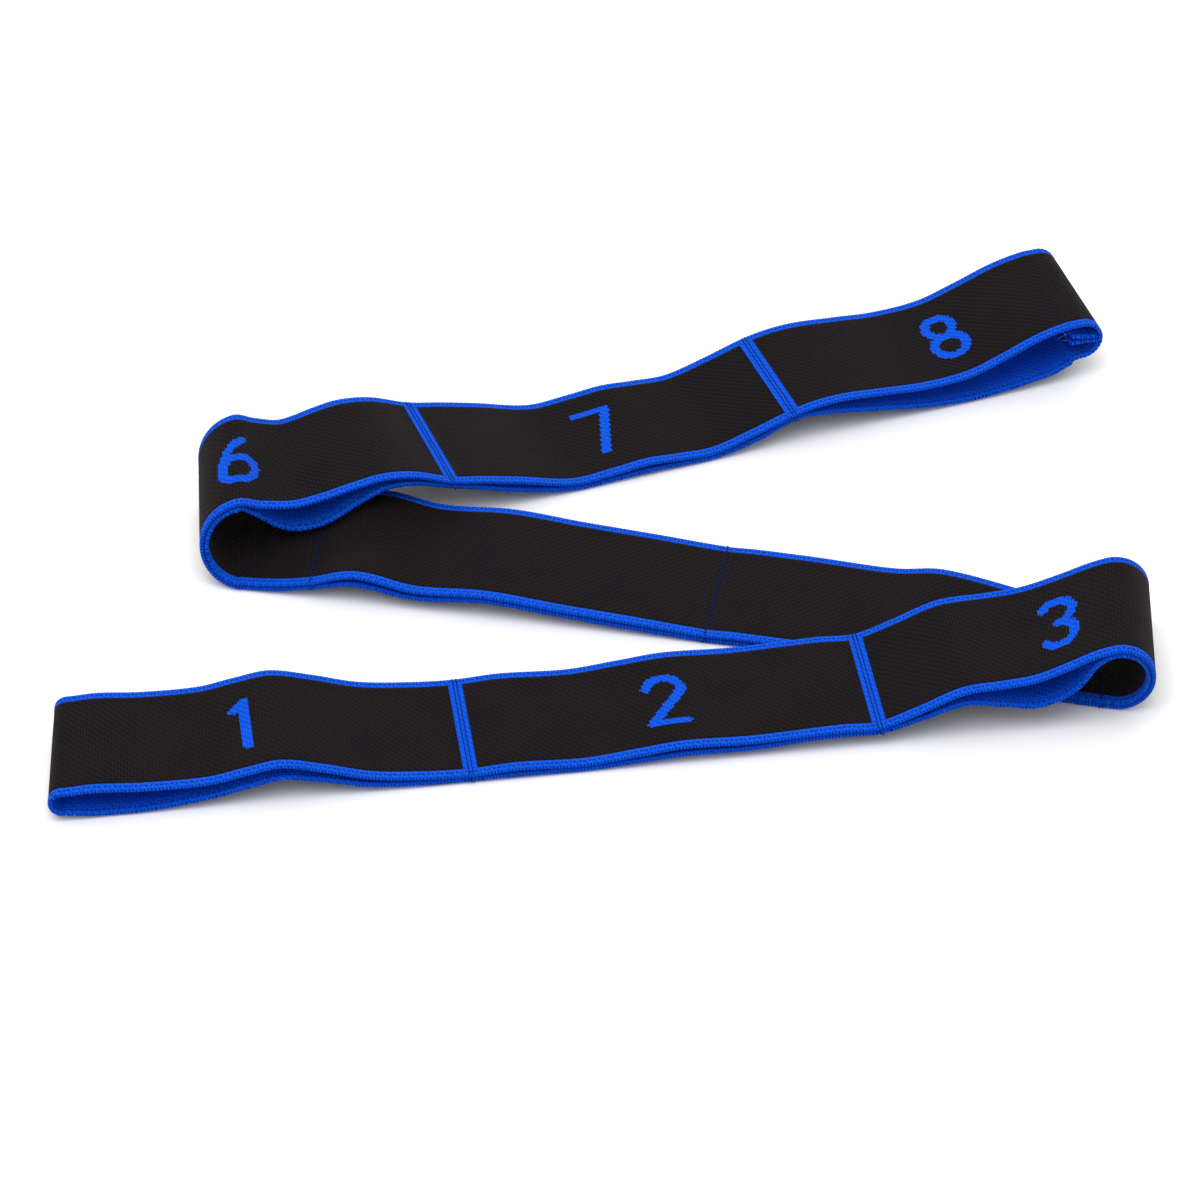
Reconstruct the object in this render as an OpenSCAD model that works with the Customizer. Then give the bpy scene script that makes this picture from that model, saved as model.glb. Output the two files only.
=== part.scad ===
// Stretching strap: an endless band of elastic webbing, folded flat into a front web and a
// back web that cross seams hold together as eight loops. It lies on a table in a loose Z.

/* [Band] */
// Width of the elastic webbing
band_w = 40; // [30:1:50]
// Thickness of one web
web_t = 1.3; // [1:0.1:1.6]

/* [Rubber core] */
// Width of the sheet of rubber threads inside a web
core_w = 33; // [20:1:34]
// Thickness of the rubber threads
core_t = 0.5; // [0.3:0.05:0.6]

/* [Seams] */
// Radius of the stitched roll at a cross seam
seam_r = 0.9; // [0.7:0.05:0.95]
// Radius of the sewing thread
thread_r = 0.15; // [0.1:0.05:0.15]
// Length of the raw ends inside the closing seam
tab_l = 8; // [6:1:10]

/* [Curls] */
// Depth of the right curl, from its axis to the front web
right_depth = 10; // [9:0.5:11]
// Height of the right curl, from its axis to the front web
right_rise = 11.5; // [10.5:0.5:12]
// Depth of the left curl
left_depth = 10; // [9:0.5:11]
// Height of the left curl
left_rise = 10.3; // [10:0.1:11]

/* [Hidden] */

FRONT = 0;
BACK = 1;
touch = web_t + 0.05;       // spacing of two webs that lie on each other
slip = 0.03;                // free space round the rubber core in its channel
butt = 0.02;                // half the joint between two parts of one web
hinge_e = 1.7;              // from a seam's line to the webs beside it
step = 6.5;                 // spacing of the cross sections along a run
curl_steps = 14;            // cross sections in a curl
fold_steps = 6;             // cross sections in each half of an end fold

// The three runs in plan: start point and heading. The middle run starts where the right
// curl ends, and the back run where the left curl ends.
front_run = [-145, -97.5, 8.2];
middle_heading = 169.6;
middle_shift = 8;           // sideways ease of the middle run, away from the front run
middle_ease = 90;           // length over which it eases
back_heading = 20.5;
right_axis = 88;            // direction of the right curl's axis
left_axis = 94;             // direction of the left curl's axis
right_lead = 5.3;           // how far the band moves along the right curl's axis
left_lead = 10;             // the same on the left curl

// Where the runs and curls end, measured along the band
a_end = 282;
r_end = a_end + 35;
b_end = r_end + 241;
l_end = b_end + 34;
c_end = l_end + 248;

// Along each run: distance, height of the front web, and its spacing to the back web
a_knots = [
    [4, 8.3, 6.4], [12, 8.6, 7.6], [24, 7.6, 6.8], [40, 7.6, 4.6], [50, 9.6, 4.2],
    [59, 11, 4], [70, 8.2, 3.2], [82, 4.4, 2.4], [96, 2.6, 1.7], [108, 2.1, touch],
    [120, 2.8, 1.9], [138, 2.1, 1.4], [152, 3.6, 2], [164, 4.9, 2.4], [182, 4.4, 2],
    [198, 5, 1.4], [206, 5.3, 1.4], [216, 5.2, touch], [226, 9, 2.2], [238, 14.2, 3.6],
    [250, 15.2, 6.2], [259, 16.2, 8.4], [268, 19.2, 7.2], [275, 22, 3], [279, 23.2, 1.6],
    [282, 2 * right_rise + web_t / 2, touch]
];
b_knots = [
    [0, web_t / 2, touch], [3, web_t / 2, touch], [10, web_t / 2, 1.6], [24, 0.8, 2.8], [48, 1.2, 4.2],
    [60, 0.8, 2], [70, 0.7, touch], [88, 0.7, 1.4], [100, 0.8, 1.5], [108, 0.8, touch],
    [128, 2, 1.7],
    [148, 3.6, 1.5], [168, 5.2, 1.6], [188, 3.6, 2.2], [204, 5.8, 2.6], [218, 3.4, touch],
    [230, 1.4, touch], [241, web_t / 2, touch]
];
c_knots = [
    [0, 2 * left_rise + web_t / 2, touch], [6, 18.8, 3], [14, 16.4, 7.8], [20, 16.6, 8.2],
    [28, 17.9, 5.6], [36, 18.7, 3.4], [45, 17.2, 2.2], [56, 12.6, touch], [66, 10, 2],
    [76, 7.2, 2.6], [92, 2.4, 1.5], [104, 2.8, 1.8], [114, 3.6, 2.4], [124, 2.8, 1.8],
    [134, 2.3, 1.4], [146, 5.4, 2], [158, 9.2, touch], [166, 10.6, 2.8], [174, 10.8, 4.2],
    [186, 9.6, 5.2], [198, 8.4, 6.2], [212, 9, 8.2], [223, 12.4, 11.2], [234, 16.4, 13.6],
    [243, 18.2, 12.6], [248, 18.2, 11]
];
// Direction of the cross lines along the band
cross_knots = [
    [0, 92], [40, 98], [235, 98], [a_end, right_axis], [r_end, right_axis],
    [r_end + 45, 79.6], [b_end - 40, 79.6], [b_end, left_axis], [l_end, left_axis],
    [l_end + 35, 110.5], [c_end - 40, 110.5], [c_end, 107]
];
// Seams, measured along the band
seams = [108, 216, r_end + 3, r_end + 108, r_end + 218, l_end + 56, l_end + 158];
end_1 = 4;                  // where the fold at loop 1's end starts

function dir(a) = [cos(a), sin(a), 0];
function unit(v) = v / norm(v);
function mid(a, b, q) = a + (b - a) * q;
function smooth(q) = let (c = min(max(q, 0), 1)) c * c * (3 - 2 * c);

// Smooth curve through the knots k, read in column c and level at both ends
function seg(k, t, i = 0) = i >= len(k) - 2 || t < k[i + 1][0] ? i : seg(k, t, i + 1);
function slope(k, i, c) =
    i == 0 || i == len(k) - 1 ? 0 : (k[i + 1][c] - k[i - 1][c]) / (k[i + 1][0] - k[i - 1][0]);
function curve(k, t, c) =
    let (i = seg(k, t), w = k[i + 1][0] - k[i][0], q = (t - k[i][0]) / w)
    (2 * q - 3) * q * q * (k[i][c] - k[i + 1][c]) + k[i][c]
    + q * (q - 1) * (q - 1) * w * slope(k, i, c) + q * q * (q - 1) * w * slope(k, i + 1, c);
function steps(k, t, c) =
    let (i = seg(k, t)) mid(k[i][c], k[i + 1][c], smooth((t - k[i][0]) / (k[i + 1][0] - k[i][0])));

// Centre line of the front web
function run_a(t) =
    [front_run[0], front_run[1], curve(a_knots, t, 1)] + t * dir(front_run[2]);
function flat(p) = [p[0], p[1], 0];
function curl(start, axis, out, depth, rise, lead, phi) =
    flat(start) + depth * sin(phi) * dir(axis + out) + lead * phi / 180 * dir(axis)
    + [0, 0, web_t / 2 + rise];
function run_r(q) =
    curl(run_a(a_end), right_axis, -90, right_depth, right_rise, right_lead, 180 * q)
    + [0, 0, right_rise * cos(180 * q)];
function run_b(t) =
    flat(run_r(1)) + t * dir(middle_heading)
    + middle_shift * smooth(t / middle_ease) * dir(middle_heading - 90)
    + [0, 0, curve(b_knots, t, 1)];
function run_l(q) =
    curl(run_b(b_end - r_end), left_axis, 90, left_depth, left_rise, left_lead, 180 * q)
    - [0, 0, left_rise * cos(180 * q)];
function run_c(t) = flat(run_l(1)) + t * dir(back_heading) + [0, 0, curve(c_knots, t, 1)];
function centre(s) =
    s < a_end ? run_a(s)
    : s < r_end ? run_r((s - a_end) / (r_end - a_end))
    : s < b_end ? run_b(s - r_end)
    : s < l_end ? run_l((s - b_end) / (l_end - b_end))
    : run_c(s - l_end);
function spacing(s) =
    s < a_end ? curve(a_knots, s, 2)
    : s < r_end ? touch
    : s < b_end ? curve(b_knots, s - r_end, 2)
    : s < l_end ? touch
    : curve(c_knots, s - l_end, 2);
function cross_line(s) = dir(steps(cross_knots, s, 1));

// A station is a point on a web, its cross line and its outward normal
function outward(s) =
    unit(cross(centre(s + 0.5) - centre(s - 0.5), cross_line(s)));
function web_point(s, side) = centre(s) - (side == BACK ? spacing(s) : 0) * outward(s);
function tangent(s, side) = unit(web_point(s + 0.5, side) - web_point(s - 0.5, side));
function station(s, side) =
    let (n = cross(tangent(s, side), cross_line(s)))
    [web_point(s, side), cross_line(s) / norm(n), unit(n)];
function stations(from, to, side, n) =
    [for (i = [0 : n]) station(mid(from, to, i / n), side)];
function run(from, to, side) = stations(from, to, side, ceil((to - from) / step));

// Half of an end fold: from its tip, where away is -1 or 1 along the band, to the web
function fold(s, side, away) =
    let (a = station(s, FRONT), b = station(s, BACK), m = (a[0] + b[0]) / 2,
         r = norm(a[0] - b[0]) / 2, n = unit(a[0] - b[0]),
         u = unit(cross(n, a[1])) * -away)
    [for (i = [0 : fold_steps])
        let (phi = mid(90 - atan(butt / r), 0, i / fold_steps), k = side == FRONT ? 1 : -1)
        [m + r * cos(phi) * k * n + r * sin(phi) * u, a[1],
         cos(phi) * n + k * sin(phi) * u]];
function reversed(v) = [for (i = [len(v) - 1 : -1 : 0]) v[i]];
function but_last(v) = [for (i = [0 : len(v) - 2]) v[i]];
function but_first(v) = [for (i = [1 : len(v) - 1]) v[i]];

// The stations of each part of a web, from its name
function loop_1(side) =
    concat(but_last(fold(end_1, side, -1)), run(end_1, seams[0] - hinge_e, side));
function loop_8(side) =
    concat(run(seams[6] + hinge_e, c_end, side), but_first(reversed(fold(c_end, side, 1))));
function between(i, side) = run(seams[i] + hinge_e, seams[i + 1] - hinge_e, side);
function part_stations(name, side) =
    name == "1" ? loop_1(side)
    : name == "2" ? between(0, side)
    : name == "3_top" ? run(seams[1] + hinge_e, a_end - butt, side)
    : name == "3_curl" ? stations(a_end + butt, seams[2] - hinge_e, side, curl_steps)
    : name == "4" ? between(2, side)
    : name == "5" ? between(3, side)
    : name == "6_low" ? run(seams[4] + hinge_e, b_end - butt, side)
    : name == "6_curl" ? stations(b_end + butt, l_end - butt, side, curl_steps)
    : name == "6_top" ? run(l_end + butt, seams[5] - hinge_e, side)
    : name == "7" ? between(5, side)
    : loop_8(side);

function corners(p, w, t) = [
    p[0] - w / 2 * p[1] - t / 2 * p[2], p[0] + w / 2 * p[1] - t / 2 * p[2],
    p[0] + w / 2 * p[1] + t / 2 * p[2], p[0] - w / 2 * p[1] + t / 2 * p[2]
];
// The side faces of a swept four-sided tube whose rings are n points apart, from point o
function walls(count, n, o, out) =
    [for (i = [0 : count - 2], j = [0 : 3], h = [0, 1])
        let (a = i * n + o + j, b = i * n + o + (j + 1) % 4,
             f = h == 0 ? [a, b, a + n] : [b, b + n, a + n])
        out ? f : [f[2], f[1], f[0]]];

// A web: a flat tube with a channel for its rubber threads
module web(list) {
    count = len(list);
    last = 8 * (count - 1);
    points = [for (p = list) each concat(corners(p, band_w, web_t),
        corners(p, core_w + 2 * slip, core_t + 2 * slip))];
    caps = [for (j = [0 : 3])
        let (k = (j + 1) % 4) each [[j, j + 4, k + 4, k],
            [last + j, last + k, last + k + 4, last + j + 4]]];
    polyhedron(points, concat(walls(count, 8, 0, true), walls(count, 8, 4, false), caps));
}

// The sheet of rubber threads that fills a web's channel
module core(list) {
    count = len(list);
    last = 4 * (count - 1);
    polyhedron([for (p = list) each corners(p, core_w, core_t)],
        concat(walls(count, 4, 0, true),
            [[3, 2, 1, 0], [last, last + 1, last + 2, last + 3]]));
}

// A round bar along the cross line at s, off its seam's line by the height h
module cross_bar(s, r, h) {
    a = station(s, FRONT);
    b = station(s, BACK);
    turn = steps(cross_knots, s, 1);
    translate((a[0] + b[0]) / 2 + h * a[2]) rotate([0, 0, turn]) rotate([0, 90, 0])
        cylinder(h = band_w * norm(a[1]), r = r, center = true, $fn = 32);
}

module front_web(name) { color([0.12, 0.11, 0.12]) web(part_stations(name, FRONT)); }
module back_web(name) { color([0.1, 0.3, 0.85]) web(part_stations(name, BACK)); }
module rubber_core(name) {
    color([0.85, 0.83, 0.78]) {
        core(part_stations(name, FRONT));
        core(part_stations(name, BACK));
    }
}
module seam_roll(i) { color([0.1, 0.35, 0.9]) cross_bar(seams[i], seam_r, 0); }
module seam_thread(i) {
    off = seam_r + thread_r + butt;
    color([0.03, 0.12, 0.5]) {
        cross_bar(seams[i], thread_r, off);
        cross_bar(seams[i], thread_r, -off);
    }
}

// The closing seam of the band: its two raw ends, turned in at the end of loop 8
module at_tab() {
    a = station(c_end, FRONT);
    b = station(c_end, BACK);
    inner = norm(a[0] - b[0]) / 2 - web_t / 2;
    half = (touch + web_t) / 2;
    reach = sqrt(inner * inner - half * half) - 2 * butt;
    turn = steps(cross_knots, c_end, 1) - 90;
    translate((a[0] + b[0]) / 2 + (reach - tab_l / 2) * dir(turn)) rotate([0, 0, turn]) children();
}
module end_seam_tab() {
    color([0.1, 0.35, 0.9]) at_tab() for (z = [-1, 1])
        translate([0, 0, z * touch / 2]) cube([tab_l, band_w, web_t], center = true);
}
module end_seam_thread() {
    color([0.03, 0.12, 0.5]) at_tab() for (z = [-1, 1])
        translate([0, 0, z * (touch / 2 + web_t / 2 + thread_r + butt)])
            rotate([90, 0, 0]) cylinder(h = band_w, r = thread_r, center = true, $fn = 24);
}

front_web("1");  // front_web_1
front_web("2");  // front_web_2
front_web("3_top");  // front_web_3_top
front_web("3_curl");  // front_web_3_curl
front_web("4");  // front_web_4
front_web("5");  // front_web_5
front_web("6_low");  // front_web_6_low
front_web("6_curl");  // front_web_6_curl
front_web("6_top");  // front_web_6_top
front_web("7");  // front_web_7
front_web("8");  // front_web_8
back_web("1");  // back_web_1
back_web("2");  // back_web_2
back_web("3_top");  // back_web_3_top
back_web("3_curl");  // back_web_3_curl
back_web("4");  // back_web_4
back_web("5");  // back_web_5
back_web("6_low");  // back_web_6_low
back_web("6_curl");  // back_web_6_curl
back_web("6_top");  // back_web_6_top
back_web("7");  // back_web_7
back_web("8");  // back_web_8
rubber_core("1");  // rubber_core_1
rubber_core("2");  // rubber_core_2
rubber_core("3_top");  // rubber_core_3_top
rubber_core("3_curl");  // rubber_core_3_curl
rubber_core("4");  // rubber_core_4
rubber_core("5");  // rubber_core_5
rubber_core("6_low");  // rubber_core_6_low
rubber_core("6_curl");  // rubber_core_6_curl
rubber_core("6_top");  // rubber_core_6_top
rubber_core("7");  // rubber_core_7
rubber_core("8");  // rubber_core_8
seam_roll(0);  // seam_roll_1_2
seam_roll(1);  // seam_roll_2_3
seam_roll(2);  // seam_roll_3_4
seam_roll(3);  // seam_roll_4_5
seam_roll(4);  // seam_roll_5_6
seam_roll(5);  // seam_roll_6_7
seam_roll(6);  // seam_roll_7_8
seam_thread(0);  // seam_thread_1_2
seam_thread(1);  // seam_thread_2_3
seam_thread(2);  // seam_thread_3_4
seam_thread(3);  // seam_thread_4_5
seam_thread(4);  // seam_thread_5_6
seam_thread(5);  // seam_thread_6_7
seam_thread(6);  // seam_thread_7_8
end_seam_tab();
end_seam_thread();
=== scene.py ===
"""The looks of the stretching strap: jacquard webbing, selvedges, seams and numerals."""
import math

import bpy
import numpy as np
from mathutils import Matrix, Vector


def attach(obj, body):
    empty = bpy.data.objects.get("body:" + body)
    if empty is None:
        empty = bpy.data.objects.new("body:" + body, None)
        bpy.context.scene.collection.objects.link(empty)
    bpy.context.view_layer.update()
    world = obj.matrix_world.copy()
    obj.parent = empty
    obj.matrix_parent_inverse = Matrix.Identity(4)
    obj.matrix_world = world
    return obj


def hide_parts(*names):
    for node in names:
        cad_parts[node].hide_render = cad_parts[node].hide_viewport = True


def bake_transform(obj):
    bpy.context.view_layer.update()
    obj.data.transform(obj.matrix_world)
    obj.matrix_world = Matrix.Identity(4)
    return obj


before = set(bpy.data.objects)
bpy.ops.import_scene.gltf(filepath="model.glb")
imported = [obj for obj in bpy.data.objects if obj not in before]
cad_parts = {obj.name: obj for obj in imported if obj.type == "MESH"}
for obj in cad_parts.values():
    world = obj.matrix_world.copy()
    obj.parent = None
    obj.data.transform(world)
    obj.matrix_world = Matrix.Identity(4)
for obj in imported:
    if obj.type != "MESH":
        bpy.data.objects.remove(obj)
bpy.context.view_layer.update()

# ---------------------------------------------------------------- sizes, in millimetres
MM = 0.001
BAND_W = 40.0
WEB_T = 1.3
SELVEDGE = 2.7              # width of the blue edge on a face
BODY_T = 1.18               # the ground weave is a little thinner than the selvedge
TOUCH = WEB_T + 0.05        # spacing of two webs that lie on each other
SEAM_E = 1.9                # half the width of the stitched bar at a seam
CELL = 0.72                 # one step of the jacquard, along and across
RIB = 0.3                   # spacing of the rings along a selvedge
RIB_PITCH = 0.9             # pitch of the ribs along a selvedge
STITCH = 1.25               # pitch of the chain stitch along a selvedge
CORE_W = 33.0
CORE_T = 0.5
THREAD_R = 0.12
TAB_L = 8.0

# ---------------------------------------------------------------- the route of the band
RIGHT_DEPTH, RIGHT_RISE, RIGHT_LEAD, RIGHT_AXIS = 10.0, 11.5, 5.3, 88.0
LEFT_DEPTH, LEFT_RISE, LEFT_LEAD, LEFT_AXIS = 10.0, 10.3, 10.0, 94.0
FRONT_RUN = (-145.0, -97.5, 8.2)
MIDDLE_HEADING, MIDDLE_SHIFT, MIDDLE_EASE = 169.6, 8.0, 90.0
BACK_HEADING = 20.5
A_END = 282.0
R_END = A_END + 35
B_END = R_END + 241
L_END = B_END + 34
C_END = L_END + 248
END_1 = 4.0
# Distance along the run, height of the front web, its spacing to the back web
A_KNOTS = np.array([
    [4, 8.3, 6.4], [12, 8.6, 7.6], [24, 7.6, 6.8], [40, 7.6, 4.6], [50, 9.6, 4.2],
    [59, 11, 4], [70, 8.2, 3.2], [82, 4.4, 2.4], [96, 2.6, 1.7], [108, 2.1, TOUCH],
    [120, 2.8, 1.9], [138, 2.1, 1.4], [152, 3.6, 2], [164, 4.9, 2.4], [182, 4.4, 2],
    [198, 5, 1.4], [206, 5.3, 1.4], [216, 5.2, TOUCH], [226, 9, 2.2], [238, 14.2, 3.6],
    [250, 15.2, 6.2], [259, 16.2, 8.4], [268, 19.2, 7.2], [275, 22, 3], [279, 23.2, 1.6],
    [282, 2 * RIGHT_RISE + WEB_T / 2, TOUCH]])
B_KNOTS = np.array([
    [0, WEB_T / 2, TOUCH], [3, WEB_T / 2, TOUCH], [10, WEB_T / 2, 1.6], [24, 0.8, 2.8],
    [48, 1.2, 4.2], [60, 0.8, 2], [70, 0.7, TOUCH], [88, 0.7, 1.4], [100, 0.8, 1.5],
    [108, 0.8, TOUCH], [128, 2, 1.7], [148, 3.6, 1.5], [168, 5.2, 1.6], [188, 3.6, 2.2],
    [204, 5.8, 2.6], [218, 3.4, TOUCH], [230, 1.4, TOUCH], [241, WEB_T / 2, TOUCH]])
C_KNOTS = np.array([
    [0, 2 * LEFT_RISE + WEB_T / 2, TOUCH], [6, 18.8, 3], [14, 16.4, 7.8], [20, 16.6, 8.2],
    [28, 17.9, 5.6], [36, 18.7, 3.4], [45, 17.2, 2.2], [56, 12.6, TOUCH], [66, 10, 2],
    [76, 7.2, 2.6], [92, 2.4, 1.5], [104, 2.8, 1.8], [114, 3.6, 2.4], [124, 2.8, 1.8],
    [134, 2.3, 1.4], [146, 5.4, 2], [158, 9.2, TOUCH], [166, 10.6, 2.8], [174, 10.8, 4.2],
    [186, 9.6, 5.2], [198, 8.4, 6.2], [212, 9, 8.2], [223, 12.4, 11.2], [234, 16.4, 13.6],
    [243, 18.2, 12.6], [248, 18.2, 11]])
CROSS_KNOTS = np.array([
    [0, 92], [40, 98], [235, 98], [A_END, RIGHT_AXIS], [R_END, RIGHT_AXIS],
    [R_END + 45, 79.6], [B_END - 40, 79.6], [B_END, LEFT_AXIS], [L_END, LEFT_AXIS],
    [L_END + 35, 110.5], [C_END - 40, 110.5], [C_END, 107]])
SEAMS = [108, 216, R_END + 3, R_END + 108, R_END + 218, L_END + 56, L_END + 158]
SEAM_NAMES = ["1_2", "2_3", "3_4", "4_5", "5_6", "6_7", "7_8"]
# Body on each side of a seam; both are the same where the seam doesn't fold
SEAM_BODIES = [("loop_2", "loop_1"), ("loop_3", "loop_2"), ("middle_run", "middle_run"),
               ("middle_run", "middle_run"), ("middle_run", "middle_run"),
               ("loop_6", "loop_7"), ("loop_7", "loop_8")]
# Part of a web: its name, where it starts and ends, and its body
PARTS = [
    ("1", None, 0, "loop_1"), ("2", 0, 1, "loop_2"), ("3_top", 1, "a", "loop_3"),
    ("3_curl", "a", 2, None), ("4", 2, 3, "middle_run"), ("5", 3, 4, "middle_run"),
    ("6_low", 4, "b", "middle_run"), ("6_curl", "b", "l", None), ("6_top", "l", 5, "loop_6"),
    ("7", 5, 6, "loop_7"), ("8", 6, None, "loop_8")]
TURNS = {"a": A_END, "b": B_END, "l": L_END}


def heading(degrees):
    a = np.radians(degrees)
    return np.stack([np.cos(a), np.sin(a), np.zeros_like(a)], -1)


def smooth(q):
    q = np.clip(q, 0, 1)
    return q * q * (3 - 2 * q)


def segment(knots, t):
    return np.clip(np.searchsorted(knots[:, 0], t, "right") - 1, 0, len(knots) - 2)


def curve(knots, t, column):
    """A smooth curve through the knots, level at both ends."""
    x, y = knots[:, 0], knots[:, column]
    slope = np.zeros(len(knots))
    slope[1:-1] = (y[2:] - y[:-2]) / (x[2:] - x[:-2])
    i = segment(knots, t)
    w = x[i + 1] - x[i]
    q = (t - x[i]) / w
    return ((2 * q - 3) * q * q * (y[i] - y[i + 1]) + y[i]
            + q * (q - 1) ** 2 * w * slope[i] + q * q * (q - 1) * w * slope[i + 1])


def cross_line(s):
    i = segment(CROSS_KNOTS, s)
    x, y = CROSS_KNOTS[:, 0], CROSS_KNOTS[:, 1]
    return heading(y[i] + (y[i + 1] - y[i]) * smooth((s - x[i]) / (x[i + 1] - x[i])))


def up(z):
    return np.stack([0 * z, 0 * z, z], -1)


def along(start, degrees, t):
    return start + t[:, None] * heading(degrees)


def run_a(t):
    start = np.array([FRONT_RUN[0], FRONT_RUN[1], 0])
    return along(start, FRONT_RUN[2], t) + up(curve(A_KNOTS, t, 1))


def curl(start, axis, out, depth, rise, lead, q):
    phi = np.pi * q
    level = np.array([start[0], start[1], WEB_T / 2 + rise])
    return (level + (depth * np.sin(phi))[:, None] * heading(axis + out)
            + (lead * q)[:, None] * heading(axis))


def run_r(q):
    start = run_a(np.array([A_END]))[0]
    turn = up(RIGHT_RISE * np.cos(np.pi * q))
    return curl(start, RIGHT_AXIS, -90, RIGHT_DEPTH, RIGHT_RISE, RIGHT_LEAD, q) + turn


def run_b(t):
    start = run_r(np.array([1.0]))[0] * [1, 1, 0]
    side = MIDDLE_SHIFT * smooth(t / MIDDLE_EASE)
    return (along(start, MIDDLE_HEADING, t) + side[:, None] * heading(MIDDLE_HEADING - 90)
            + up(curve(B_KNOTS, t, 1)))


def run_l(q):
    start = run_b(np.array([B_END - R_END]))[0]
    turn = up(LEFT_RISE * np.cos(np.pi * q))
    return curl(start, LEFT_AXIS, 90, LEFT_DEPTH, LEFT_RISE, LEFT_LEAD, q) - turn


def run_c(t):
    start = run_l(np.array([1.0]))[0] * [1, 1, 0]
    return along(start, BACK_HEADING, t) + up(curve(C_KNOTS, t, 1))


def centre(s):
    """The front web's centre line."""
    p = run_a(np.minimum(s, A_END))
    for start, end, run, scale in ((A_END, R_END, run_r, R_END - A_END), (R_END, B_END, run_b, 1),
                                   (B_END, L_END, run_l, L_END - B_END), (L_END, C_END + 1, run_c, 1)):
        here = s > start
        p[here] = run((np.minimum(s[here], end) - start) / scale)
    return p


def spacing(s):
    gap = np.full(len(s), TOUCH)
    for start, end, knots in ((0, A_END, A_KNOTS), (R_END, B_END, B_KNOTS), (L_END, C_END + 1, C_KNOTS)):
        here = (s >= start) & (s <= end)
        gap[here] = curve(knots, s[here] - start, 2)
    return gap


def unit(v):
    return v / np.linalg.norm(v, axis=-1, keepdims=True)


def web_point(s, back):
    out = unit(np.cross(centre(s + 0.5) - centre(s - 0.5), cross_line(s)))
    return centre(s) - (spacing(s)[:, None] * out if back else 0)


def stations(s, back):
    """Centre, cross line for each millimetre across, and outward normal of a web at s."""
    tangent = unit(web_point(s + 0.5, back) - web_point(s - 0.5, back))
    n = np.cross(tangent, cross_line(s))
    length = np.linalg.norm(n, axis=-1, keepdims=True)
    return web_point(s, back), cross_line(s) / length, n / length


def end_fold(s, back, away):
    """The quarter turn from a loop's tip to its web; away is -1 or 1 along the band."""
    a, b = stations(np.array([s]), False), stations(np.array([s]), True)
    middle, n = (a[0] + b[0]) / 2, unit(a[0] - b[0])
    r = np.linalg.norm(a[0] - b[0]) / 2
    u = unit(np.cross(n, a[1])) * -away
    phi = np.radians(np.linspace(90, 0, 19))[:, None]
    k = -1 if back else 1
    p = middle + r * np.cos(phi) * k * n + r * np.sin(phi) * u
    return p, np.repeat(a[1], len(phi), 0), np.cos(phi) * n + k * np.sin(phi) * u


def place(mark, off):
    """Where a part starts or ends: at a curl's end, or beside a seam."""
    return TURNS[mark] if mark in TURNS else SEAMS[mark] + off


def trace(part, back, step):
    """Stations of a part of a web, evenly spaced along it, and their distance on the band."""
    _, start, end, _ = part
    s0 = END_1 if start is None else place(start, SEAM_E)
    s1 = C_END if end is None else place(end, -SEAM_E)
    return even(s0, s1, back, step, start is None, end is None)


def even(s0, s1, back, step, tip_first=False, tip_last=False):
    """Evenly spaced stations of a web from s0 to s1, with the end folds where asked for."""
    s = np.linspace(s0, s1, max(3, int((s1 - s0) / 0.25)))
    p, r, n = stations(s, back)
    label = np.interp(s, ARC[0], ARC[1])
    if tip_first:
        fp, fr, fn = end_fold(s0, back, -1)
        p, r, n = (np.concatenate([f[:-1], g]) for f, g in ((fp, p), (fr, r), (fn, n)))
        label = np.concatenate([label[0] - np.linspace(1, 0, 19)[:-1] * LAST_TURN, label])
    if tip_last:
        fp, fr, fn = (f[::-1] for f in end_fold(s1, back, 1))
        p, r, n = (np.concatenate([g, f[1:]]) for f, g in ((fp, p), (fr, r), (fn, n)))
        label = np.concatenate([label, label[-1] + np.linspace(0, 1, 19)[1:] * LAST_TURN])
    length = np.concatenate([[0], np.cumsum(np.linalg.norm(np.diff(p, axis=0), axis=1))])
    count = max(3, int(round(length[-1] / step)) + 1)
    want = np.linspace(0, length[-1], count)
    pick = lambda v: np.stack([np.interp(want, length, v[:, i]) for i in range(3)], -1)
    return pick(p), pick(r), unit(pick(n)), np.interp(want, length, label)


LAST_TURN = 6.0             # length of a quarter of an end fold
_s = np.linspace(END_1, C_END, 3400)
_p = centre(_s)
ARC = (_s, np.concatenate([[0], np.cumsum(np.linalg.norm(np.diff(_p, axis=0), axis=1))]))
SEAM_ARC = [float(np.interp(s, *ARC)) for s in SEAMS]

# ---------------------------------------------------------------- numerals
PEN = 2.8                   # width of a numeral's line


def bow(x, y, wide, high, start, end):
    """Points along an arc about (x, y), from one angle to another."""
    a = np.radians(np.linspace(start, end, 25))
    return np.stack([x + wide * np.cos(a), y + high * np.sin(a)], -1)


# Plain upright numerals: the lines and arcs of each, in mm from its middle
DIGITS = {
    1: [[(-3, 6), (0, 9), (0, -9)]],
    2: [[*bow(0, 4.5, 4.5, 4.5, 170, -40), (-4.5, -9), (4.5, -9)]],
    3: [bow(0, 4.5, 4.2, 4.5, 150, -90), bow(0, -4.5, 4.5, 4.5, 90, -150)],
    4: [[(2.5, -9), (2.5, 9), (-5, -3), (5, -3)]],
    5: [[(4.5, 9), (-3.5, 9), (-3.5, 1), *bow(-0.5, -3.8, 5, 5.2, 115, -140)]],
    6: [bow(0, -4, 4.7, 5, 0, 360), bow(4, -4, 8.7, 13, 180, 110)],
    7: [[(-4.5, 9), (4.5, 9), (-1.5, -9)]],
    8: [bow(0, 4.6, 3.9, 4.4, 0, 360), bow(0, -4.4, 4.7, 4.6, 0, 360)]}
# How far a numeral stands from its loop's middle, along the band
SHIFTS = {1: -4, 8: 8}


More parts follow.
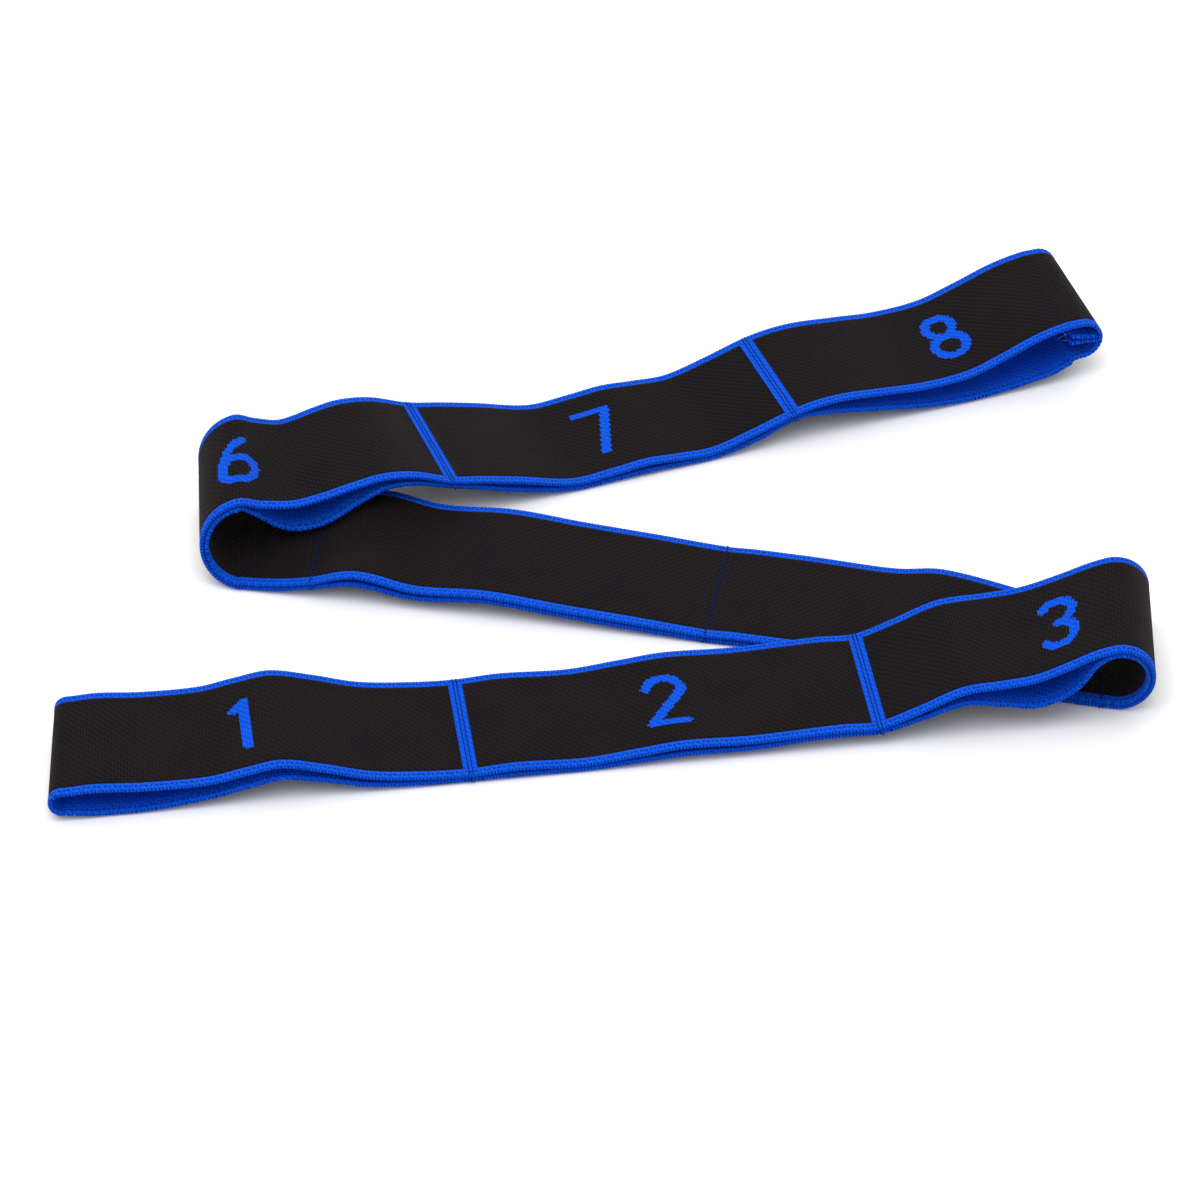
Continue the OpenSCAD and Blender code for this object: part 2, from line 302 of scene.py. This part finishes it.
def drawn(lines, x, y):
    """True where a point lies under the pen."""
    inside = np.zeros(x.shape, bool)
    for line in lines:
        for (x0, y0), (x1, y1) in zip(line, line[1:]):
            dx, dy = x1 - x0, y1 - y0
            q = np.clip(((x - x0) * dx + (y - y0) * dy) / (dx * dx + dy * dy), 0, 1)
            inside |= np.hypot(x - x0 - q * dx, y - y0 - q * dy) < PEN / 2
    return inside


def numeral_at(arc, w):
    """True where the front web's face carries a numeral: arc along the band, w across."""
    edges = [-2.0] + SEAM_ARC + [ARC[1][-1] + 2.0]
    inside = np.zeros(arc.shape, bool)
    for digit in range(1, 9):
        middle = (edges[digit - 1] + edges[digit]) / 2 + SHIFTS.get(digit, 0)
        if arc.max() > middle - 12 and arc.min() < middle + 12:
            inside |= drawn(DIGITS[digit], arc - middle, w)
    return inside


# ---------------------------------------------------------------- materials
def new_material(name):
    material = bpy.data.materials.new(name)
    material.use_nodes = True
    tree = material.node_tree
    return material, tree.nodes, tree.links, tree.nodes["Principled BSDF"]


def band_coordinates(nodes, links, scale):
    uv = nodes.new("ShaderNodeUVMap")
    uv.uv_map = "band"
    mapping = nodes.new("ShaderNodeMapping")
    mapping.inputs["Scale"].default_value = scale
    links.new(uv.outputs["UV"], mapping.inputs["Vector"])
    return mapping.outputs["Vector"]


def bands(nodes, links, vector, direction, period):
    wave = nodes.new("ShaderNodeTexWave")
    wave.bands_direction = direction
    wave.inputs["Scale"].default_value = 2 * math.pi / 20 / period
    wave.inputs["Distortion"].default_value = 0.5
    wave.inputs["Detail"].default_value = 1
    wave.inputs["Detail Scale"].default_value = 2.0
    links.new(vector, wave.inputs["Vector"])
    return wave.outputs["Fac"]


def maths(nodes, links, operation, a, b):
    node = nodes.new("ShaderNodeMath")
    node.operation = operation
    for socket, value in zip(node.inputs, (a, b)):
        if isinstance(value, (int, float)):
            socket.default_value = value
        else:
            links.new(value, socket)
    return node.outputs[0]


def noise(nodes, links, vector, scale, detail=3):
    node = nodes.new("ShaderNodeTexNoise")
    node.inputs["Scale"].default_value = scale
    node.inputs["Detail"].default_value = detail
    links.new(vector, node.inputs["Vector"])
    return node.outputs["Fac"]


def cloth(name, dark, light, tint, pitch, depth, rough=0.85, sheen=0.25):
    """Woven yarn: rows along and across the band at the given pitch, with painted shade in the gaps
    between yarns and a lighter colour on the yarn crests.
    """
    material, nodes, links, shader = new_material(name)
    flat = band_coordinates(nodes, links, (1, 1, 1))
    weft = bands(nodes, links, flat, "X", pitch[0])
    warp = bands(nodes, links, flat, "Y", pitch[1])
    twill = bands(nodes, links, flat, "DIAGONAL", pitch[0] * 1.3)
    fuzz = noise(nodes, links, flat, 2.2, 4)
    height = maths(nodes, links, "MULTIPLY", weft, warp)
    height = maths(nodes, links, "ADD", height, maths(nodes, links, "MULTIPLY", twill, 0.5))
    height = maths(nodes, links, "ADD", height, maths(nodes, links, "MULTIPLY", fuzz, 0.9))
    patches = noise(nodes, links, flat, 0.06, 5)
    # Colour follows the weave's height: painted shade in the gaps, lighter on the crests; the fuzz in the
    # height adds random tone
    ramp = nodes.new("ShaderNodeValToRGB")
    ramp.color_ramp.elements[0].position = 0.35
    ramp.color_ramp.elements[0].color = (*dark, 1)
    ramp.color_ramp.elements[1].position = 1.35 / 1.6
    ramp.color_ramp.elements[1].color = (*light, 1)
    links.new(maths(nodes, links, "MULTIPLY", height, 0.6), ramp.inputs["Fac"])
    mix = nodes.new("ShaderNodeMixRGB")
    mix.inputs["Color2"].default_value = (*tint, 1)
    share = maths(nodes, links, "MULTIPLY", maths(nodes, links, "SUBTRACT", patches, 0.35), 0.9)
    links.new(share, mix.inputs["Fac"])
    links.new(ramp.outputs["Color"], mix.inputs["Color1"])
    links.new(mix.outputs["Color"], shader.inputs["Base Color"])
    bump = nodes.new("ShaderNodeBump")
    bump.inputs["Strength"].default_value = 0.9
    bump.inputs["Distance"].default_value = depth * MM
    links.new(height, bump.inputs["Height"])
    links.new(bump.outputs["Normal"], shader.inputs["Normal"])
    shader.inputs["Roughness"].default_value = rough
    shader.inputs["Specular IOR Level"].default_value = 0.07
    shader.inputs["Sheen Weight"].default_value = sheen
    shader.inputs["Sheen Roughness"].default_value = 0.45
    shader.inputs["Sheen Tint"].default_value = (*[min(1, 0.3 + 0.7 * c / max(light)) for c in light], 1)
    return material


# For each cloth, the first colour is the painted shade in the weave's gaps and the second is its colour on
# the yarn crests
BLACK = cloth("black_ground", (0.001, 0.0008, 0.0011), (0.0085, 0.0066, 0.0086),
              (0.0125, 0.0065, 0.005), (0.8, 0.62), 0.16, 0.9, 0.03)
BLUE = cloth("blue_figure", (0.0, 0.045, 0.42), (0.0, 0.1, 0.74), (0.0, 0.075, 0.64),
             (0.8, 0.62), 0.16, 0.85, 0.03)
EDGE = cloth("blue_selvedge", (0.0, 0.05, 0.44), (0.0, 0.1, 0.75), (0.0, 0.08, 0.66),
             (0.9, 0.8), 0.2, 0.8, 0.05)
STITCHES = cloth("dark_blue_stitch", (0.0, 0.008, 0.1), (0.0, 0.022, 0.24), (0.0, 0.015, 0.16),
                 (0.3, 0.3), 0.1, 0.8, 0.03)
RUBBER = cloth("rubber_threads", (0.4, 0.37, 0.3), (0.75, 0.72, 0.64), (0.6, 0.56, 0.48),
               (0.5, 0.9), 0.05, 0.6, 0.0)
FRAYED = cloth("frayed_yarn", (0.05, 0.2, 0.5), (0.35, 0.6, 0.9), (0.1, 0.35, 0.8),
               (0.4, 0.4), 0.1, 0.8, 0.3)


# ---------------------------------------------------------------- meshes
def make(name, points, faces, kinds, materials, uv):
    mesh = bpy.data.meshes.new(name)
    mesh.from_pydata((points * MM).tolist(), [], faces)
    for material in materials:
        mesh.materials.append(material)
    mesh.polygons.foreach_set("material_index", np.asarray(kinds, np.int32))
    mesh.polygons.foreach_set("use_smooth", np.ones(len(mesh.polygons), bool))
    layer = mesh.uv_layers.new(name="band")
    loops = np.zeros(len(mesh.loops), np.int32)
    mesh.loops.foreach_get("vertex_index", loops)
    layer.data.foreach_set("uv", uv[loops].astype(np.float32).ravel())
    mesh.update()
    piece = bpy.data.objects.new(name, mesh)
    bpy.context.scene.collection.objects.link(piece)
    return piece


def tube_faces(rings, n):
    """Quads between rings of n points; the two ends stay open."""
    i = np.arange(rings - 1)[:, None] * n
    j = np.arange(n)[None, :]
    k = (j + 1) % n
    return np.stack([i + j, i + k, i + n + k, i + n + j], -1).reshape(-1, 4)


def section(stations_, profile):
    """Points of a profile of (across, out) swept along the stations."""
    p, r, n, _ = stations_
    w, h = profile[:, 0], profile[:, 1]
    return (p[:, None, :] + w[None, :, None] * r[:, None, :] + h[None, :, None] * n[:, None, :])


def cap(n, base, flip):
    """An end face of a flat ring whose points run along one face and back along the other."""
    half = n // 2
    quads = [[base + j, base + j + 1, base + n - 2 - j, base + n - 1 - j] for j in range(half - 1)]
    return [q[::-1] for q in quads] if flip else quads


def body_piece(name, line, back, bar=False):
    """The ground weave of a part of a web, one face for each step of the jacquard."""
    count = int(round((BAND_W - 2 * SELVEDGE) / CELL))
    w = np.linspace(-BAND_W / 2 + SELVEDGE, BAND_W / 2 - SELVEDGE, count + 1)
    top = np.stack([w[::-1], np.full(count + 1, BODY_T / 2)], -1)
    low = np.stack([w, np.full(count + 1, -BODY_T / 2)], -1)
    profile = np.concatenate([top, low])
    points = section(line, profile)
    rings, n = points.shape[:2]
    faces = tube_faces(rings, n)
    arc = (line[3][:-1] + line[3][1:]) / 2
    ring_w = (profile[:, 0] + np.roll(profile[:, 0], -1)) / 2
    a, b = np.meshgrid(arc, ring_w, indexing="ij")
    number = np.zeros(a.shape, bool) if back or bar else numeral_at(a, b)
    out_side = np.arange(n)[None, :] < count
    if back:
        out_side = (np.arange(n)[None, :] > count) & (np.arange(n)[None, :] < n - 1)
    outer = np.repeat(out_side, rings - 1, 0)
    blue = np.where(outer, number | (bar and not back), ~number)
    caps = cap(n, 0, False) + cap(n, (rings - 1) * n, True)
    kinds = np.concatenate([blue.astype(int).ravel(), np.ones(len(caps), int)])
    uv = np.stack([np.repeat(line[3], n), np.tile(profile[:, 0], rings)], -1)
    return make(name, points.reshape(-1, 3), faces.tolist() + caps, kinds, [BLACK, BLUE], uv)


# Half of a selvedge's section: width out from the weave, and height off the web's middle
EDGE_FACE = [(0.0, 0.58), (0.5, 0.61), (1.0, 0.62), (1.45, 0.62), (1.95, 0.6),
             (2.4, 0.47), (2.68, 0.18)]


def selvedge_piece(name, line):
    """Both ribbed edges of a part of a web, with a row of chain stitches on each face."""
    inner = BAND_W / 2 - SELVEDGE
    groups, faces, kinds, uvs = [], [], [], []
    phase = line[3] * 2 * math.pi / RIB_PITCH
    for sign in (-1, 1):
        half = [(sign * (inner + x), h) for x, h in EDGE_FACE]
        profile = np.array(half + [(x, -h) for x, h in half[::-1]])
        if sign > 0:
            profile = profile[::-1]
        points = section(line, profile)
        rings, n = points.shape[:2]
        out = np.abs(profile[:, 0]) - inner
        swell = 0.05 * np.sin(phase)[:, None] * np.clip(out / SELVEDGE, 0, 1)[None, :]
        sink = np.zeros((rings, n))
        on = (np.mod(line[3], STITCH) < 0.55 * STITCH)[:, None]
        row = ((out > 0.9) & (out < 1.5))[None, :]
        sink[np.broadcast_to(row & on, sink.shape)] = -0.07
        shift = (swell * np.sign(profile[:, 0])[None, :])[:, :, None] * line[1][:, None, :]
        lift = ((swell + sink) * np.sign(profile[:, 1])[None, :])[:, :, None] * line[2][:, None, :]
        points = points + shift + lift
        base = sum(len(g) for g in groups)
        quads = tube_faces(rings, n) + base
        mid = (out + np.roll(out, -1)) / 2
        row_on = np.mod(line[3][:-1], STITCH) < 0.55 * STITCH
        rib_on = np.mod(line[3][:-1], RIB_PITCH) < 0.3
        dark = ((mid > 1.1) & (mid < 1.4))[None, :] & row_on[:, None]
        dark |= (mid > 2.5)[None, :] & rib_on[:, None]
        caps = cap(n, base, False) + cap(n, base + (rings - 1) * n, True)
        faces += quads.tolist() + caps
        kinds += dark.astype(int).ravel().tolist() + [0] * len(caps)
        groups.append(points.reshape(-1, 3))
        uvs.append(np.stack([np.repeat(line[3], n), np.tile(profile[:, 0] + profile[:, 1], rings)], -1))
    return make(name, np.concatenate(groups), faces, kinds, [EDGE, STITCHES], np.concatenate(uvs))


def core_piece(name, lines):
    """The sheets of rubber threads inside the front and back webs."""
    count = 44
    w = np.linspace(-CORE_W / 2, CORE_W / 2, count + 1)
    h = np.where(np.arange(count + 1) % 2, CORE_T / 2, CORE_T / 4)
    profile = np.concatenate([np.stack([w[::-1], h], -1), np.stack([w, -h], -1)])
    groups, faces, uvs = [], [], []
    for line in lines:
        points = section(line, profile)
        rings, n = points.shape[:2]
        base = sum(len(g) for g in groups)
        faces += (tube_faces(rings, n) + base).tolist()
        faces += cap(n, base, False) + cap(n, base + (rings - 1) * n, True)
        groups.append(points.reshape(-1, 3))
        uvs.append(np.stack([np.repeat(line[3], n), np.tile(profile[:, 0], rings)], -1))
    return make(name, np.concatenate(groups), faces, [0] * len(faces), [RUBBER], np.concatenate(uvs))


def thread_piece(name, routes, radius, material):
    """Sewing thread: round tubes along the given points, with closed ends."""
    sides = 6
    groups, faces, uvs = [], [], []
    for route in routes:
        p = np.asarray(route, float)
        tangent = unit(np.gradient(p, axis=0))
        side = unit(np.cross(tangent, np.array([0.31, 0.17, 0.93])))
        other = np.cross(tangent, side)
        a = np.linspace(0, 2 * math.pi, sides, endpoint=False)
        ring = (np.cos(a)[None, :, None] * side[:, None, :] + np.sin(a)[None, :, None] * other[:, None, :])
        points = p[:, None, :] + radius * ring
        base = sum(len(g) for g in groups)
        faces += (tube_faces(len(p), sides) + base).tolist()
        last = base + (len(p) - 1) * sides
        faces += [[base + j for j in range(sides)][::-1], [last + j for j in range(sides)]]
        groups.append(points.reshape(-1, 3))
        uvs.append(np.stack([np.repeat(np.arange(len(p)) * 0.3, sides), np.tile(a, len(p))], -1))
    return make(name, np.concatenate(groups), faces, [0] * len(faces), [material], np.concatenate(uvs))


# ---------------------------------------------------------------- the strap
def bend(piece, spec):
    """Rides on one body; a piece given two bodies keeps its place, with its transform baked in."""
    if isinstance(spec, str):
        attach(piece, spec)
    else:
        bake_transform(piece)


def level(point, z):
    return (point[0] * MM, point[1] * MM, z * MM)


right_mid = (run_r(np.array([0.0]))[0] + run_r(np.array([1.0]))[0]) / 2
left_mid = (run_l(np.array([0.0]))[0] + run_l(np.array([1.0]))[0]) / 2
TWO_WEBS = WEB_T + TOUCH + 0.15
CURLS = {
    "3_curl": ("loop_3", "middle_run", level(right_mid, 2 * RIGHT_RISE + WEB_T - TWO_WEBS),
               level(right_mid, TWO_WEBS)),
    "6_curl": ("middle_run", "loop_6", level(left_mid, TWO_WEBS),
               level(left_mid, 2 * LEFT_RISE + WEB_T - TWO_WEBS))}

for part in PARTS:
    name, _, _, body = part
    spec = CURLS.get(name, body)
    for back in (False, True):
        face = "back" if back else "front"
        line = trace(part, back, CELL)
        web = body_piece(f"{face}_weave_{name}", line, back)
        edges = selvedge_piece(f"{face}_selvedges_{name}", trace(part, back, RIB))
        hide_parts(f"{face}_web_{name}")
        for piece in (web, edges):
            bend(piece, spec)
    core = core_piece(f"rubber_threads_{name}", [trace(part, b, 1.5) for b in (False, True)])
    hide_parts(f"rubber_core_{name}")
    bend(core, spec)


def stitch_row(s, out, side, swing):
    """A row of stitches across the band at s; out is 1 front, -1 back; side is along the band."""
    p, r, n = stations(np.array([s]), out < 0)
    step = np.cross(n[0], r[0] / np.linalg.norm(r[0]))
    w = np.arange(-BAND_W / 2 + 0.3, BAND_W / 2 - 0.2, 0.3)
    sway = side + swing * (2 / math.pi) * np.arcsin(np.sin(w * 2 * math.pi / 1.7))
    lift = 0.58 + 0.14 * np.abs(np.sin(w * math.pi / 1.7))
    return (p[0] + w[:, None] * r[0] + sway[:, None] * step + (out * lift)[:, None] * n[0])


def tail(s, sign, length):
    """The free end of the sewing thread at a seam's edge."""
    p, r, n = stations(np.array([s]), False)
    q = np.linspace(0, 1, 12)[:, None]
    step = np.cross(n[0], r[0])
    start = p[0] + sign * BAND_W / 2 * r[0] - 0.6 * n[0]
    curl_ = 0.5 * np.sin(q * 5) * step
    return start + sign * length * q * r[0] + curl_ - q * q * min(0.8, length) * n[0] * 0.4


for i, (s, name, bodies) in enumerate(zip(SEAMS, SEAM_NAMES, SEAM_BODIES)):
    hinge = (stations(np.array([s]), False)[0][0] + stations(np.array([s]), True)[0][0]) / 2
    ahead = unit(centre(np.array([s + 1.0])) - centre(np.array([s - 1.0])))[0]
    toward = 1 if i < 2 else -1             # the parent body lies ahead on the front run
    ends = [tuple((hinge + k * toward * SEAM_E * ahead) * MM) for k in (1, -1)]
    spec = bodies[0] if bodies[0] == bodies[1] else (*bodies, *ends)
    pieces = []
    for back in (False, True):
        face = "back" if back else "front"
        web = body_piece(f"{face}_seam_bar_{name}", even(s - SEAM_E, s + SEAM_E, back, 0.5), back, True)
        edges = selvedge_piece(f"{face}_seam_ends_{name}", even(s - SEAM_E, s + SEAM_E, back, RIB))
        for piece in (web, edges):
            pieces.append(piece)
        if not back:
            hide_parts(f"seam_roll_{name}")
    routes = [stitch_row(s, 1, -0.5, 0.08), stitch_row(s, 1, 0.5, 0.08), stitch_row(s, -1, 0, 0.35),
              tail(s, -1, 1.6), tail(s, 1, 1.2)]
    thread = thread_piece(f"seam_stitches_{name}", routes, THREAD_R, STITCHES)
    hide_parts(f"seam_thread_{name}")
    for piece in pieces + [thread]:
        bend(piece, spec)

# The closing seam, turned in at loop 8's end
tip = end_fold(C_END, False, 1)
middle = (stations(np.array([C_END]), False)[0][0] + stations(np.array([C_END]), True)[0][0]) / 2
across = tip[1][0]
outward = heading(CROSS_KNOTS[-1, 1] - 90)
reach = np.linalg.norm(tip[0][-1] - middle) - WEB_T
for k, name in ((1, "upper"), (-1, "lower")):
    q = np.linspace(0, 1, 24)
    droop = up(k * (TOUCH / 2 + 0.5 * q * q) + 0.9 * q)
    p = middle + (reach - TAB_L * q)[:, None] * outward + droop
    n = np.repeat([[0.0, 0.0, 1.0]], len(q), 0)
    r = np.repeat([across], len(q), 0)
    line = (p, r, n, -4.0 - TAB_L * q)
    web = body_piece(f"end_tab_{name}", line, k < 0, True)
    edges = selvedge_piece(f"end_tab_edges_{name}", line)
    for piece in (web, edges):
        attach(piece, "loop_8")
    if k > 0:
        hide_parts("end_seam_tab")
rng = np.random.default_rng(8)
w = np.arange(-BAND_W / 2 + 0.5, BAND_W / 2 - 0.4, 0.3)
stitch = (middle + (reach - 2.2) * outward + w[:, None] * across
          + up(1.6 + 0.12 * np.abs(np.sin(w * 3.7))))
rows = [stitch, stitch * [1, 1, 0] + up(np.full(len(w), 2 * middle[2]) - stitch[:, 2] + 1.0)]
for _ in range(46):
    start = middle + (reach - TAB_L) * outward + rng.uniform(-19.5, 19.5) * across
    start = start + up(np.array(rng.uniform(-0.9, 2.2)))
    q = np.linspace(0, 1, 7)[:, None]
    away = -outward * rng.uniform(0.8, 2.2) + across * rng.uniform(-0.9, 0.9)
    rows.append(start + q * away + q * q * up(np.array(rng.uniform(-1.2, 0.8))))
thread = thread_piece("end_stitches", rows[:2], THREAD_R, STITCHES)
fray = thread_piece("end_frayed_yarn", rows[2:], 0.09, FRAYED)
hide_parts("end_seam_thread")
for piece in (thread, fray):
    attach(piece, "loop_8")


# ---------------------------------------------------------------- floor, light and camera
FLOOR_Z = -0.0003            # just under the strap


def floor():
    """A wide pale floor that fills the view."""
    material, _, _, shader = new_material("pale_floor")
    shader.inputs["Base Color"].default_value = (0.9, 0.9, 0.9, 1)
    shader.inputs["Roughness"].default_value = 0.9
    mesh = bpy.data.meshes.new("floor")
    corners = [(x, y, FLOOR_Z) for x, y in ((-15, -15), (15, -15), (15, 15), (-15, 15))]
    mesh.from_pydata(corners, [], [(0, 1, 2, 3)])
    mesh.materials.append(material)
    plane = bpy.data.objects.new("floor", mesh)
    bpy.context.scene.collection.objects.link(plane)


def area_light(name, place, size, power, target=(0, 0, 0)):
    light = bpy.data.lights.new(name, "AREA")
    light.shape = "RECTANGLE"
    light.size, light.size_y = size
    light.energy = power
    lamp = bpy.data.objects.new(name, light)
    lamp.location = place
    lamp.rotation_euler = (Vector(target) - Vector(place)).to_track_quat("-Z", "Y").to_euler()
    bpy.context.scene.collection.objects.link(lamp)


def camera():
    """The photograph's view: from the front, well above, through a long lens."""
    distance, elevation = 1.4, math.radians(38.5)
    aim = (-0.002, -0.0255, 0)
    data = bpy.data.cameras.new("camera")
    data.sensor_width = 36
    data.lens = 154.6
    cam = bpy.data.objects.new("camera", data)
    cam.location = (aim[0], aim[1] - distance * math.cos(elevation), distance * math.sin(elevation))
    cam.rotation_euler = (math.pi / 2 - elevation, 0, 0)
    bpy.context.scene.collection.objects.link(cam)
    bpy.context.scene.camera = cam


floor()
area_light("key", (-0.3, -0.5, 1.6), (1.6, 1.6), 19)
area_light("rim", (0.2, 1.5, 1.0), (1.6, 0.8), 12)
world = bpy.data.worlds.new("studio")
world.use_nodes = True
world.node_tree.nodes["Background"].inputs["Color"].default_value = (1, 1, 1, 1)
world.node_tree.nodes["Background"].inputs["Strength"].default_value = 0.85
bpy.context.scene.world = world
bpy.context.scene.view_settings.view_transform = "Standard"
camera()
